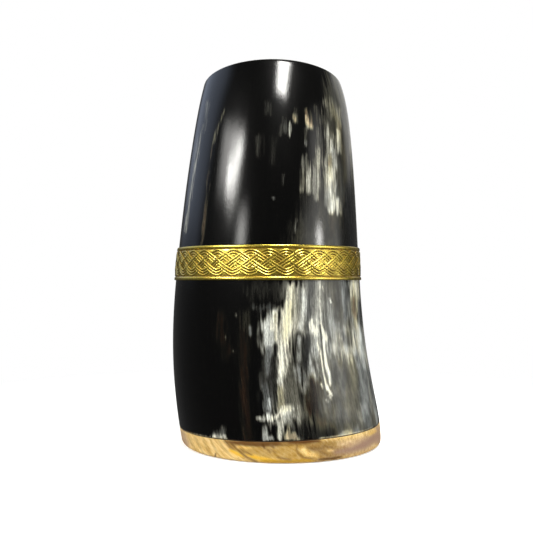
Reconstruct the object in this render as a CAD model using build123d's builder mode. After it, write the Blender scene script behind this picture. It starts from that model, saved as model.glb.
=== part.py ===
from build123d import *
import os

# Horn drinking cup: a hollow length of polished horn on a turned wooden base,
# with an embossed brass strip lapped and pinned around its waist.
# Millimetres. +Z is up, -Y is the front, and the origin is on the table under the base.

# Outline of the cup: its width at the foot, how much narrower it is at each other height,
# and how far it leans sideways and backwards there
FOOT_HEIGHT = 9.5
FOOT_WIDTH = 80.2
FOOT_LEAN = -1.1
GROUND_TAPER = 1.1
BELLY_HEIGHT = 31.5
BELLY_TAPER = 2.0
BELLY_LEAN = -4.2
WAIST_HEIGHT = 64.5
WAIST_TAPER = 6.5
WAIST_LEAN = -5.5
CHEST_HEIGHT = 97.0
CHEST_TAPER = 11.5
CHEST_LEAN = -4.6
CHEST_BACK = 1.1
NECK_BELOW_RIM = 17.0
NECK_TAPER = 17.5
NECK_LEAN = -3.6
NECK_BACK = 3.8
TOP_ABOVE_RIM = 8.0
TOP_TAPER = 30.2
TOP_LEAN = -4.3
TOP_BACK = 7.3
DEPTH_RATIO = 0.97

# Horn tube, its rim cut on a slant that is higher at the front
RIM_HEIGHT = 144.0
RIM_SLANT = 9.6
HORN_WALL = 3.2
LIP_ROUND = 1.2
LIP_WALL_RATIO = 0.4

# Wooden base, its shoulder following the horn's uneven lower end
BASE_THICKNESS = 7.6
SHOULDER_SLANT_FRONT = 0.6
SHOULDER_SLANT_SIDE = 1.25
BASE_ROUND = 2.0
SPIGOT_HEIGHT = 6.0

# Glue seal under and inside the horn's lower end, with a bead round the cup's floor
SEAL_THICKNESS = 0.4
SEAL_SETBACK = 0.3
BEAD_SIZE = 1.8
BEAD_EDGE = 0.3

# Brass strip round the waist, its ends lapped at the back
BAND_BOTTOM = 64.6
BAND_WIDTH = 12.7
STRIP_THICKNESS = 0.5
STRIP_FIT = 0.1
LAP_LENGTH = 9.0
LAP_SLIT = 0.3
JOGGLE_LENGTH = 1.2

# Brass pins through the lap into the horn
PIN_SPACING = 6.0
PIN_DIAMETER = 1.3
PIN_FIT = 0.05
PIN_HEAD_DIAMETER = 2.4
PIN_HEAD_HEIGHT = 0.7
HORN_BEHIND_PIN = 1.2

GROUND_WIDTH = FOOT_WIDTH - GROUND_TAPER
BELLY_WIDTH = FOOT_WIDTH - BELLY_TAPER
WAIST_WIDTH = FOOT_WIDTH - WAIST_TAPER
CHEST_WIDTH = FOOT_WIDTH - CHEST_TAPER
NECK_WIDTH = FOOT_WIDTH - NECK_TAPER
TOP_WIDTH = FOOT_WIDTH - TOP_TAPER
NECK_HEIGHT = RIM_HEIGHT - NECK_BELOW_RIM
TOP_HEIGHT = RIM_HEIGHT + TOP_ABOVE_RIM
FLOOR_HEIGHT = BASE_THICKNESS + SPIGOT_HEIGHT
BAND_TOP = BAND_BOTTOM + BAND_WIDTH
BAND_MIDDLE = BAND_BOTTOM + BAND_WIDTH / 2
STRIP_OUTSIDE = STRIP_FIT + STRIP_THICKNESS
LAP_INSIDE = STRIP_OUTSIDE + STRIP_FIT
LAP_OUTSIDE = LAP_INSIDE + STRIP_THICKNESS
LAP_LEFT = WAIST_LEAN - LAP_LENGTH / 2
LAP_RIGHT = WAIST_LEAN + LAP_LENGTH / 2
JOGGLE_LEFT = LAP_RIGHT + LAP_SLIT
JOGGLE_RIGHT = JOGGLE_LEFT + JOGGLE_LENGTH
PIN_GRIP = HORN_WALL - HORN_BEHIND_PIN
PIN_SEAT = LAP_OUTSIDE + STRIP_FIT
HOLE_LENGTH = PIN_GRIP + 2 * PIN_SEAT

# Each station of the outline: height, width, sideways lean, backward lean
STATIONS = [
    (0, GROUND_WIDTH, 0, 0),
    (FOOT_HEIGHT, FOOT_WIDTH, FOOT_LEAN, 0),
    (BELLY_HEIGHT, BELLY_WIDTH, BELLY_LEAN, 0),
    (WAIST_HEIGHT, WAIST_WIDTH, WAIST_LEAN, 0),
    (CHEST_HEIGHT, CHEST_WIDTH, CHEST_LEAN, CHEST_BACK),
    (NECK_HEIGHT, NECK_WIDTH, NECK_LEAN, NECK_BACK),
    (TOP_HEIGHT, TOP_WIDTH, TOP_LEAN, TOP_BACK),
]

RIM_PLANE = Plane((TOP_LEAN, TOP_BACK, RIM_HEIGHT)).rotated((-RIM_SLANT, 0, 0))
SHOULDER_PLANE = Plane((0, 0, BASE_THICKNESS)).rotated((-SHOULDER_SLANT_FRONT, -SHOULDER_SLANT_SIDE, 0))
HORN_FOOT_PLANE = SHOULDER_PLANE.offset(SEAL_THICKNESS)
FLOOR_PLANE = Plane.XY.offset(FLOOR_HEIGHT)
BEAD_PLANE = FLOOR_PLANE.offset(BEAD_SIZE)
BAND_BOTTOM_PLANE = Plane.XY.offset(BAND_BOTTOM)
BAND_TOP_PLANE = Plane.XY.offset(BAND_TOP)


def outline_block(growth):
    """The cup's outline as a solid block, grown outwards by this much all round."""
    with BuildPart() as block:
        for height, width, lean, back in STATIONS:
            with BuildSketch(Plane((lean, back, height))):
                Ellipse(width / 2 + growth, width / 2 * DEPTH_RATIO + growth)
        loft()
    return block.part


def band_ring(inside, outside):
    """A ring as high as the brass strip, between two growths of the cup's outline."""
    core = outline_block(inside)
    block = outline_block(outside)
    with BuildPart() as ring:
        add(block)
        add(core, mode=Mode.SUBTRACT)
        split(bisect_by=BAND_BOTTOM_PLANE, keep=Keep.TOP)
        split(bisect_by=BAND_TOP_PLANE, keep=Keep.BOTTOM)
    return ring.part


def back_slice(left, right):
    """A block as high as the brass strip, across the back of the cup from left to right."""
    with BuildPart() as block:
        with BuildSketch(BAND_BOTTOM_PLANE):
            with Locations((left, 0)):
                Rectangle(right - left, WAIST_WIDTH, align=Align.MIN)
        extrude(amount=BAND_WIDTH)
    return block.part


horn_outside = outline_block(0)
horn_bore = outline_block(-HORN_WALL)
spigot_block = outline_block(-HORN_WALL - SEAL_THICKNESS)


def pin_seat(height):
    """The plane on the back of the horn at this height, facing outwards."""
    sight_line = Axis((WAIST_LEAN, 0, height), (0, 1, 0))
    hits = horn_outside.find_intersection_points(sight_line)
    point, normal = max(hits, key=lambda hit: hit[0].Y)
    return Plane(point, x_dir=(1, 0, 0), z_dir=normal)


PIN_PLANES = [pin_seat(BAND_MIDDLE + side * PIN_SPACING / 2) for side in (-1, 1)]

# Brass pins with domed heads that sit on the lap
with BuildPart() as band_pins:
    for seat in PIN_PLANES:
        with BuildSketch(Plane(seat.origin, x_dir=seat.x_dir, z_dir=-seat.y_dir)):
            with BuildLine():
                shank = Polyline(
                    (0, -PIN_GRIP),
                    (PIN_DIAMETER / 2, -PIN_GRIP),
                    (PIN_DIAMETER / 2, PIN_SEAT),
                    (PIN_HEAD_DIAMETER / 2, PIN_SEAT),
                )
                dome = TangentArc((0, PIN_SEAT + PIN_HEAD_HEIGHT), shank @ 1, tangent=(1, 0))
                Line(dome @ 0, shank @ 0)
            make_face()
        revolve(axis=Axis(seat.origin, seat.z_dir))
band_pins.part.label = "band_pins"

# Clearance holes for the pins, from the horn's wall out past the lap
with BuildPart() as pin_holes:
    for seat in PIN_PLANES:
        with BuildSketch(seat.offset(-PIN_GRIP - PIN_FIT)):
            Circle(PIN_DIAMETER / 2 + PIN_FIT)
        extrude(amount=HOLE_LENGTH)

# Horn tube, open at both ends, with a rounded drinking lip
with BuildPart() as horn_body:
    add(horn_outside)
    add(horn_bore, mode=Mode.SUBTRACT)
    split(bisect_by=RIM_PLANE, keep=Keep.BOTTOM)
    split(bisect_by=HORN_FOOT_PLANE, keep=Keep.TOP)
    lip_edges = horn_body.faces().sort_by(Axis.Z)[-1].edges()
    fillet(lip_edges, radius=min(LIP_ROUND, HORN_WALL * LIP_WALL_RATIO))
    add(pin_holes.part, mode=Mode.SUBTRACT)
horn_body.part.label = "horn_body"

# Part of the base that shows below the horn, rounded where it stands
with BuildPart() as base_foot:
    add(horn_outside)
    split(bisect_by=SHOULDER_PLANE, keep=Keep.BOTTOM)
    fillet(base_foot.edges().group_by(Axis.Z)[0], radius=min(BASE_ROUND, BASE_THICKNESS / 2))

# Part of the base that plugs the horn
with BuildPart() as spigot:
    add(spigot_block)
    split(bisect_by=FLOOR_PLANE, keep=Keep.BOTTOM)

# Wooden base in one turned piece
with BuildPart() as wood_base:
    add(base_foot.part)
    add(spigot.part)
wood_base.part.label = "wood_base"

# Seal between the base's shoulder and the horn's lower end, set back a little from the outside
seal_outside = outline_block(-SEAL_SETBACK)
with BuildPart() as seal_flange:
    add(seal_outside)
    split(bisect_by=HORN_FOOT_PLANE, keep=Keep.BOTTOM)
    split(bisect_by=SHOULDER_PLANE, keep=Keep.TOP)
    add(spigot_block, mode=Mode.SUBTRACT)

# Hollow that the bead leaves open over the cup's floor, widening upwards
bead_foot = outline_block(-HORN_WALL - BEAD_SIZE).intersect(FLOOR_PLANE)
bead_crest = outline_block(-HORN_WALL - BEAD_EDGE).intersect(BEAD_PLANE)
with BuildPart() as bead_hollow:
    add(bead_foot)
    add(bead_crest)
    loft()

# Seal between the spigot and the horn's bore, topped by the bead
with BuildPart() as seal_sleeve:
    add(horn_bore)
    split(bisect_by=BEAD_PLANE, keep=Keep.BOTTOM)
    split(bisect_by=HORN_FOOT_PLANE, keep=Keep.TOP)
    add(spigot.part, mode=Mode.SUBTRACT)
    add(bead_hollow.part, mode=Mode.SUBTRACT)

# Glue seal in one piece
with BuildPart() as base_seal:
    add(seal_sleeve.part)
    add(seal_flange.part)
base_seal.part.label = "base_seal"

# End of the strip that steps out and laps over its beginning
lap_ring = band_ring(LAP_INSIDE, LAP_OUTSIDE)
lap_slice = back_slice(LAP_LEFT, JOGGLE_RIGHT)
with BuildPart() as lap:
    add(lap_ring)
    add(lap_slice, mode=Mode.INTERSECT)

joggle_ring = band_ring(STRIP_FIT, LAP_OUTSIDE)
joggle_slice = back_slice(JOGGLE_LEFT, JOGGLE_RIGHT)
with BuildPart() as joggle:
    add(joggle_ring)
    add(joggle_slice, mode=Mode.INTERSECT)

# Brass strip in one piece, drilled for the pins
strip_ring = band_ring(STRIP_FIT, STRIP_OUTSIDE)
strip_gap = back_slice(LAP_RIGHT, JOGGLE_LEFT)
with BuildPart() as embossed_band:
    add(strip_ring)
    add(strip_gap, mode=Mode.SUBTRACT)
    add(lap.part)
    add(joggle.part)
    add(pin_holes.part, mode=Mode.SUBTRACT)
embossed_band.part.label = "embossed_band"

os.makedirs("parts", exist_ok=True)
for piece in (horn_body, wood_base, base_seal, embossed_band, band_pins):
    export_step(piece.part, f"parts/{piece.part.label}.step")
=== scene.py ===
import math

import bpy
import numpy as np
from mathutils import Matrix, Vector
from mathutils.bvhtree import BVHTree


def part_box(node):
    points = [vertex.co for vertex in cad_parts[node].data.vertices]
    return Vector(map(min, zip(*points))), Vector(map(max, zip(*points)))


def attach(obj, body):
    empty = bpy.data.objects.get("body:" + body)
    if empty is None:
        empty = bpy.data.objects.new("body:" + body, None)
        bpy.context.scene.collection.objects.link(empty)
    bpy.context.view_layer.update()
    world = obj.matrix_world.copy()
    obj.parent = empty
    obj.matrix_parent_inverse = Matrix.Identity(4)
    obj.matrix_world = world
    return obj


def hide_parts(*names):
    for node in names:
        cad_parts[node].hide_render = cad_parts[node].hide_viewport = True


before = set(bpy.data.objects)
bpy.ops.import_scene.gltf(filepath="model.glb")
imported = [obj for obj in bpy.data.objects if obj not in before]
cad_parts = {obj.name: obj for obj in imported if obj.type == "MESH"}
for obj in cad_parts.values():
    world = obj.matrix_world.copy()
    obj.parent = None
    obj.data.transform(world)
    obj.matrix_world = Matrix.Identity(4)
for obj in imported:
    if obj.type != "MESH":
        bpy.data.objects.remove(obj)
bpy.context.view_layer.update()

MM = 0.001
SEED = 7

# The camera, in the frame of the photograph, which is taken as 533 pixels square
PHOTO_SIZE = 533
FOCAL_PIXELS = 723.0
EYE_COLUMN = 266.5
EYE_ROW = 280.4
EYE_PLACE = (-6.0, -291.5, 64.5)
SENSOR_WIDTH = 36.0
CLIP_START = 10.0

# The horn: columns lie FRONT_STEP apart up to FRONT_END degrees from the front, SIDE_STEP up to SIDE_END,
# and BACK_STEP behind that; DARK_HORN is the plain horn's paleness and warmth
MEAN_RADIUS = 36.0
FRONT_END = 70.0
SIDE_END = 100.0
FRONT_STEP = 0.45
SIDE_STEP = 1.0
BACK_STEP = 2.5
OUTER_ROWS = 200
INNER_ROWS = 16
ROUND_ROWS = 4
LIP_ROUND = 1.2
SURFACE_SWAY = 0.12
INNER_SHARE = 0.6
DARK_HORN = (0.035, 0.4)

# Brush strokes: how far round the cup they reach, how they fade there, and how their edges and tips run out
PAINT_LIMIT = 86.0
PAINT_FADE = 10.0
EDGE_SPREAD = 1.7
TIP_SHARE = 0.1
TIP_LIMIT = 1.5
GRAIN_SHARE = 0.9
EVEN_GRAIN = 0.5

# Long fibres that break up strokes on the horn: how much each layer counts, its grain across and along it
FIBRE_LAYERS = ((0.45, 0.4, 4.0), (0.35, 0.9, 11.0), (0.20, 2.4, 24.0))
FIBRE_CONTRAST = 2.4
LATTICE_MARGIN = 1.2

# Streaks scattered in each field of paler horn, with the ranges that their values are drawn from
STREAKS_IN_FIELD = 14
STREAK_SCATTER = 0.6
STREAK_HALF_WIDTHS = (0.3, 1.4)
STREAK_HALF_LENGTHS = (3.0, 16.0)
STREAK_PALENESS = (0.35, 0.95)
STREAK_WARMTH = (0.05, 0.7)

# The wooden base: PLAIN_WOOD is how stained, honey yellow and rosy it is where it has no mark; the stain
# and rosy channels also carry painted shade
WOOD_STEP = 0.5
BASE_ROUND = 2.0
BASE_ROUND_ROWS = 8
BASE_ROWS = 22
EDGE_ROUND = 0.15
UNDERSIDE_SHARES = (0.02, 0.3, 0.6, 0.85)
UNDERSIDE_REACH = 30.0
SPIGOT_SHARES = (0.8, 0.5, 0.2, 0.02)
SPIGOT_REACH = 34.0
SPIGOT_PLAY = 0.1
PLAIN_WOOD = (0.03, 0.12, 0.06)

# The seal: its sleeve and bead are measured inwards from the horn's inner wall, the bead's heights as shares
# of its size
SEAL_STEP = 1.0
SEAL_THICKNESS = 0.4
SEAL_SETBACK = 0.3
SEAL_PLAY = 0.01
SLEEVE_OUTER = 0.05
SLEEVE_INNER = 0.45
BEAD_SIZE = 1.8
BEAD_PROFILE = ((1.0, SLEEVE_OUTER), (0.95, 0.3), (0.5, 0.7), (0.15, 1.4))
BEAD_REACH = 1.9
BEAD_PLAY = 0.02

# Fields of paler horn on the sides and back: angle, height, spread in degrees, spread in mm, paleness, warmth
BACK_FIELDS = {
    "right side, low": (100.0, 32.0, 34.0, 34.0, 0.42, 0.2),
    "right side, high": (85.0, 112.0, 18.0, 34.0, 0.25, 0.4),
    "back, high": (170.0, 105.0, 26.0, 30.0, 0.30, 0.4),
    "back, low": (195.0, 35.0, 22.0, 26.0, 0.34, 0.5),
    "left side": (255.0, 60.0, 14.0, 40.0, 0.20, 0.7),
}

# Marks on the horn, laid in this order as soft brush strokes: how pale the mark is, how warm its colour is,
# how soft its edge is in pixels, and its path over the photograph as (column, row, half width) in pixels.
# Some marks are painted shade, painted highlights and painted reflections, and their names say so
HORN_MARKS = {
    "field, over the strip": (0.18, 0.45, 6.0, ((334, 190, 22), (331, 210, 27), (322, 246, 35))),
    "field between the upper streaks": (0.12, 0.5, 5.0, ((313, 164, 6), (312, 200, 9))),
    # Partly the horn's own grey and partly a painted reflection of a dim wall on the right
    "field, upper right, with painted wall reflection": (0.23, 0.4, 5.0, ((338, 72, 10), (338, 100, 13), (337, 150, 16), (337, 190, 13))),
    "shade under the strip": (0.14, 0.35, 6.0, ((258, 289, 9), (284, 289, 9))),
    "field, lower right": (0.36, 0.3, 9.0, ((330, 290, 28), (338, 350, 34), (346, 415, 36))),
    "field, lower middle": (0.33, 0.4, 7.0, ((288, 372, 11), (292, 400, 14), (302, 415, 12))),
    "field, right of the middle": (0.44, 0.2, 6.0, ((313, 288, 15), (314, 330, 13))),
    "fibres right of the cream streak": (0.60, 0.3, 4.0, ((297, 292, 5.5), (299, 330, 7))),
    "grey haze, lower left of the middle": (0.23, 0.2, 6.0, ((271, 382, 7), (274, 406, 9))),
    "cloud bed": (0.48, 0.2, 5.0, ((271, 318, 6), (276, 332, 10), (280, 350, 8))),
    "brown-grey field": (0.26, 0.5, 5.0, ((336, 284, 8), (340, 300, 6), (340, 318, 6))),
    "cool grey shade": (0.50, 0.0, 3.5, ((346.5, 284, 3.2), (347, 299, 3.4), (347, 318, 3.2))),
    "pale corner under the strip": (0.80, 0.35, 3.0, ((356, 283, 5.5), (356.5, 298, 5), (357, 312, 3))),
    "pinkish streak": (0.50, 0.55, 2.2, ((354, 302, 2.4), (355.5, 320, 2.4))),
    "dark slit at the right edge": (0.24, 0.0, 1.4, ((360.4, 304, 1.5), (361.2, 314, 1.6), (361.8, 325, 1))),
    "tan field": (0.31, 0.5, 7.0, ((338, 375, 10), (343, 400, 12), (343, 425, 11))),
    "slate field": (0.45, 0.05, 7.0, ((364, 375, 9), (367, 400, 10), (363, 425, 12))),
    "cloud right of the vein": (0.58, 0.2, 3.5, ((326.5, 306, 2.4), (327.5, 318, 3.2), (335, 331, 4))),
    "cloud on the right, upper": (0.56, 0.2, 5.0, ((338, 331, 5), (350, 330, 7.5))),
    "cloud on the right": (0.72, 0.2, 4.5, ((335, 348, 5.5), (343, 348, 8), (353, 351, 9))),
    "pale run down the right": (0.80, 0.2, 3.0, (
        (357, 324, 3.5), (359.5, 339, 6), (361.5, 353, 5.6), (363, 363, 3),
    )),
    "second pale run": (0.70, 0.3, 2.5, ((364.5, 343, 1.8), (368, 364, 1.8))),
    "slate highlight": (0.52, 0.0, 3.5, ((362, 408, 2.5), (364, 421, 3), (371, 403, 3))),
    "white cloud": (0.70, 0.1, 3.0, (
        (269.5, 317, 3), (266.8, 324, 5.2), (266.3, 333, 5.6), (266.8, 342, 7), (269, 348, 5.6),
    )),
    "white cloud, bright edge": (0.88, 0.3, 1.5, ((273.3, 313, 1.3), (273, 320, 1.8), (272.5, 328, 1))),
    "white cloud, tail": (0.40, 0.0, 2.6, ((269, 354, 3.6), (269, 362, 4), (268.5, 371, 3))),
    "brown gap": (0.52, 0.6, 1.2, ((276.3, 317, 0.9), (276.5, 338, 1))),
    "cream streak, bed": (0.84, 0.4, 2.6, (
        (291.5, 291, 2), (290.3, 300, 4), (287.5, 312, 7.5), (286.5, 328, 8.5), (285.5, 342, 6),
    )),
    "haze left of the cream streak": (0.36, 0.3, 3.0, ((284.5, 282, 2.6), (283, 298, 2))),
    "cream streak, top": (0.84, 0.4, 2.0, ((291.5, 287.5, 2.8), (290.8, 300, 3.6), (289, 312, 4.2))),
    "cream streak, heart": (0.91, 0.55, 2.4, (
        (288.5, 308, 3), (287.5, 318, 5), (286.5, 330, 4.5), (284.5, 340, 3),
    )),
    "cream streak, left flank": (0.72, 0.35, 2.2, ((280.5, 312, 1.6), (279.7, 330, 2.3), (280, 345, 2))),
    "cream streak, right flank": (0.66, 0.35, 1.8, (
        (297.5, 283, 1), (297, 300, 1.8), (296, 314, 2.6), (296, 326, 2.8),
    )),
    "line right of the cream streak": (0.42, 0.5, 1.0, ((294.3, 286, 0.6), (293.2, 314, 0.7))),
    "dark gap right of the grey-white streak": (0.24, 0.1, 2.4, (
        (311, 283, 2.4), (308.3, 300, 2.2), (307.5, 326, 2),
    )),
    "grey-white streak": (0.76, 0.1, 2.0, (
        (304, 293, 1.2), (303.5, 300, 2), (302.5, 312, 2.2), (302, 327, 2),
    )),
    "dark line by the grey-white streak": (0.30, 0.1, 1.2, ((300, 290, 0.8), (299.5, 318, 0.9))),
    # Partly a pale streak and partly a painted reflection of the right-hand glint lamp, running on below the
    # strip
    "pale streak with painted lamp reflection": (0.74, 0.25, 2.2, ((319.5, 283, 2.4), (319.8, 300, 2), (318.5, 316, 2.2))),
    "knot, cloud": (0.76, 0.2, 2.8, ((318, 319, 3.4), (317, 330, 4), (318, 342, 3.2))),
    "knot": (0.93, 0.3, 1.8, ((312.5, 324, 2.4), (314.8, 330, 3.4), (316.3, 335, 1.8))),
    "cream streak, foot": (0.64, 0.35, 2.2, ((292, 334, 2), (291.5, 345, 2.4), (290.5, 356, 1.6))),
    "white tongue": (0.88, 0.3, 2.2, (
        (281.6, 345, 3), (281.6, 353, 4), (282.2, 362, 5.2), (281.6, 370, 4.4), (281, 377, 2.4),
    )),
    "white tongue, tip": (0.72, 0.25, 2.2, ((281, 380, 1.8), (281.6, 387, 2.2), (281.5, 393, 1.4))),
    "tan stem": (0.52, 0.6, 2.8, ((280, 392, 3.2), (279.3, 408, 4.2))),
    "dark patch": (0.22, 0.3, 3.2, ((299, 337, 2.2), (301.5, 345, 5.2), (303, 354, 7.6), (302.5, 361, 5))),
    "dark patch, core": (0.13, 0.1, 2.4, ((307.5, 341, 3.2), (308.5, 353, 4.4), (308, 364, 3.2))),
    "pale thread in the dark patch": (0.60, 0.1, 1.4, (
        (299, 339, 1.1), (298.8, 348, 1.3), (299.2, 358, 1.3),
    )),
    "dark gap by the tongue": (0.10, 0.3, 1.8, ((275.3, 348, 1.2), (274.5, 358, 1.4), (274.2, 376, 1.8))),
    "cool fibres, upper": (0.60, 0.1, 2.4, ((315.2, 342, 2.4), (314.6, 353, 2.6), (312, 362, 2))),
    "cool fibres": (0.56, 0.1, 3.0, ((313, 369, 2.6), (312.5, 376, 4.4), (311.5, 383, 4))),
    "cool fibres, bright line": (0.74, 0.15, 1.4, ((316, 367, 1), (316, 374, 1.5), (315, 383, 1.2))),
    "cool spots": (0.50, 0.0, 3.0, ((298, 370, 3), (300.5, 378, 3))),
    "shade right of the hollow": (0.26, 0.55, 4.0, ((323, 390, 2.4), (325, 405, 4.4), (322, 424, 4.4))),
    "shade in the tan field": (0.31, 0.3, 4.5, ((349.5, 384, 3), (349, 405, 4.6), (346.5, 428, 4.6))),
    # Painted light: a pale sheen along the right edge of the horn
    "painted edge light on the right flank": (0.56, 0.05, 2.6, ((370.5, 372, 1.8), (373.5, 395, 2.6), (376.5, 420, 2.4))),
    "brown hollow": (0.17, 0.85, 4.5, ((315, 384, 4), (316, 394, 7), (313, 406, 6))),
    "brown hollow, core": (0.13, 0.9, 2.2, ((313.5, 385, 2.2), (314.2, 397, 2.8), (312.8, 411, 2.2))),
    "spot over the hollow": (0.52, 0.2, 2.0, ((304, 384, 1.6), (302.5, 392, 1.6))),
    "grey column": (0.30, 0.0, 3.0, ((265.5, 388, 1.4), (266.3, 396, 2.4), (266.8, 407, 2.8))),
    "grey column, bright spot": (0.58, 0.0, 1.5, ((269.5, 401, 1.2), (269.5, 408, 1.2))),
    "vein, long branch": (0.97, 0.35, 0.8, (
        (320.8, 325, 1.0), (323, 330, 1.8), (325, 337, 2.1), (324.2, 346, 1.7),
        (325, 356, 1.5), (326.3, 366, 1.4), (328.4, 373, 1.2), (329.8, 382, 0.8),
    )),
    "vein, short branch": (0.94, 0.35, 0.7, (
        (318, 345, 0.8), (320, 351, 1.1), (321.5, 361, 1.3), (323.2, 371, 1.2),
        (325.3, 383, 1.0), (328, 390, 1.2), (330.3, 393, 0.8),
    )),
    "vein, shadow": (0.28, 0.2, 0.9, ((319.5, 326, 0.4), (321, 336, 0.7), (321.3, 347, 0.5))),
    "vein, crumbs": (0.72, 0.3, 0.9, ((329, 396, 0.8), (330.5, 398, 0.7))),
    "vein, lower crumb": (0.72, 0.3, 0.9, ((326.5, 400, 0.8), (328, 401.5, 0.7))),
    "vein, left crumb": (0.72, 0.4, 0.9, ((321.5, 384.5, 0.7), (323, 387.5, 0.7))),
    "fleck": (0.97, 0.4, 0.7, ((322.3, 287, 0.7), (323.7, 290.3, 0.7))),
    "second fleck": (0.97, 0.3, 0.7, ((329.8, 299.3, 0.7), (331.2, 302.3, 0.7))),
    "shade of the second fleck": (0.12, 0.3, 0.6, ((332.3, 299.5, 0.4), (332.6, 302, 0.4))),
    "dark foot": (0.13, 0.2, 4.0, ((298, 434, 4), (315, 434.5, 6), (325, 434.5, 4.6))),
    "black slit at the foot": (0.06, 0.3, 1.8, ((304.8, 416, 1.1), (305.7, 433, 1.5))),
    "pale haze round the bar": (0.56, 0.25, 4.5, ((274, 423, 4), (282, 421, 8), (292, 416, 7))),
    "pale bar": (0.66, 0.2, 1.6, (
        (258.5, 418.5, 1.1), (263, 418.5, 1.4), (275, 418.3, 1.7),
        (282, 417, 2.6), (287, 412, 4.2), (293, 409, 2),
    )),
    "pale bar, heart": (0.88, 0.35, 1.9, (
        (273, 418.7, 1.6), (277.5, 416, 3), (280.5, 411.5, 3.2), (289, 409.5, 1.8),
    )),
    "pale bar, left spot": (0.90, 0.1, 1.1, ((263, 416.3, 1), (263.6, 420.5, 1.1))),
    "pale bar, middle spot": (0.85, 0.1, 1.1, ((268.3, 414.5, 1), (268.6, 419.5, 1.1))),
    "pale bar, crown": (0.80, 0.45, 1.8, ((285.5, 408.3, 1.8), (288, 407.5, 1.8))),
    "stem below the bar": (0.70, 0.3, 1.7, ((280.5, 422, 3), (280, 429, 4), (279.5, 437, 4))),
    "foot spot, grey": (0.52, 0.1, 1.6, ((265.5, 428, 1.6), (266.5, 438, 4), (272, 438, 3))),
    "foot spot, beige": (0.60, 0.7, 1.5, (
        (287.5, 426, 1), (287.5, 434, 3.4), (287, 438, 4), (293, 436.5, 4.4), (298, 440, 2.4),
    )),
    "foot spot, half oval": (0.57, 0.45, 1.4, (
        (341, 438.4, 2.8), (346, 435.4, 4.2), (350, 434, 3.8), (352.5, 436.5, 2),
    )),
    "foot spot, left": (0.32, 0.2, 2.6, ((223, 430, 1.6), (221, 434, 2.8), (216, 436.5, 3.8))),
    "foot spot, left heart": (0.82, 0.3, 1.8, ((214, 437.5, 1.8), (222, 437.5, 1.8))),
    "cut edge, right": (0.84, 0.45, 0.8, (
        (322, 438.7, 0.6), (340, 436.4, 1.0), (360, 432.7, 0.9), (371, 428.6, 0.5),
    )),
    "cut edge, left": (0.62, 0.5, 0.7, ((194, 434, 0.4), (213, 438.2, 0.6), (226, 440, 0.6))),
    "red-brown column": (0.13, 1.0, 3.0, (
        (244, 322, 2), (244.5, 345, 3.6), (245, 400, 3.4), (248, 436, 4.4),
    )),
    "red-brown smudge": (0.11, 1.0, 4.0, ((221, 320, 2.5), (222, 332, 3.5), (228, 352, 3.5))),
    "green-brown haze": (0.15, 0.5, 3.0, ((245, 312, 2), (245.5, 326, 2))),
    "speck": (0.42, 0.3, 0.7, ((236, 314.5, 0.6), (236.5, 316, 0.6))),
    "second speck": (0.42, 0.3, 0.7, ((225.5, 336.5, 0.6), (226, 338, 0.5))),
    "third speck": (0.38, 0.3, 0.7, ((233.5, 351, 0.6), (234, 352, 0.5))),
    "faint thread": (0.34, 0.0, 1.3, ((250, 328, 1), (250, 334, 1.1))),
    "faint threads over the cloud": (0.26, 0.0, 2.5, ((256, 307, 1.4), (261, 309, 2), (268, 307, 2))),
    "threads near the rim": (0.15, 0.3, 2.0, ((266, 103, 1.2), (266.5, 112, 1.4))),
    "second threads near the rim": (0.17, 0.3, 1.8, ((270, 104, 1), (270.5, 113, 1.2))),
    "faint threads, centre": (0.19, 0.3, 2.5, ((259.5, 138, 1.8), (259.5, 153, 1.8))),
    "second faint threads, centre": (0.13, 0.3, 2.5, ((273.5, 141, 1.5), (273, 160, 1.5))),
    "faint threads, lower centre": (0.22, 0.2, 1.5, ((284, 176, 1), (284, 183, 1))),
    "cool speck": (0.32, 0.0, 0.8, ((272.6, 197.5, 0.7), (273.8, 198.3, 0.7))),
    "orange spot": (0.78, 0.85, 1.8, ((294.7, 116.5, 1.8), (295.2, 121.5, 1.5))),
    "orange spot, crown": (0.30, 0.4, 1.6, ((296.5, 109, 1), (296.3, 115, 1.2))),
    "pale drop": (0.68, 0.2, 1.5, ((291, 124.5, 1.5), (291, 130, 2), (290, 134, 1.2))),
    "threads by the drop": (0.24, 0.2, 1.6, ((284.7, 118, 1), (284.5, 131, 1.1))),
    "second threads by the drop": (0.30, 0.2, 1.6, ((281, 126, 0.9), (280.5, 134, 1.1))),
    "brown cluster": (0.38, 0.84, 2.0, ((307, 112, 1.4), (308.5, 119, 2), (311, 126, 2))),
    "brown cluster, heart": (0.72, 0.72, 1.4, ((306.5, 118, 1.2), (308, 123.5, 1.9), (311.5, 128, 1.8))),
    "thread below the cluster": (0.50, 0.4, 1.3, ((306, 128, 1.2), (305.5, 140, 0.8))),
    "black hollow below the cluster": (0.04, 0.4, 2.5, ((311.5, 134, 3.4), (311, 145, 4.2))),
    "cool dot": (0.55, 0.0, 1.2, ((305, 142, 0.9), (305, 145, 0.9))),
    "side threads": (0.26, 0.5, 1.4, ((315.5, 107, 0.9), (317, 121, 1.1))),
    "middle streak, upper": (0.36, 0.35, 1.6, ((316, 128, 1), (317.5, 139, 1.3), (317.5, 150, 1.3))),
    "middle streak": (0.66, 0.4, 2.0, ((317, 150, 1.2), (318, 161, 2), (318, 174, 2.2))),
    "middle streak, lower": (0.60, 0.3, 1.8, ((318, 175, 1.7), (318, 188, 1.4), (317, 197, 0.9))),
    "middle streak, side": (0.46, 0.3, 2.0, ((314, 170, 1.5), (314.3, 180, 1.7), (314.5, 190, 1.3))),
    "thin streak": (0.64, 0.3, 1.7, (
        (310.5, 162, 0.8), (309.3, 171, 1.6), (308.8, 181, 1.8), (308.9, 190, 0.9),
    )),
    "left streak, upper": (0.40, 0.3, 1.8, ((304.5, 156, 0.8), (304.3, 163, 1.3), (303.5, 170, 1.4))),
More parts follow.
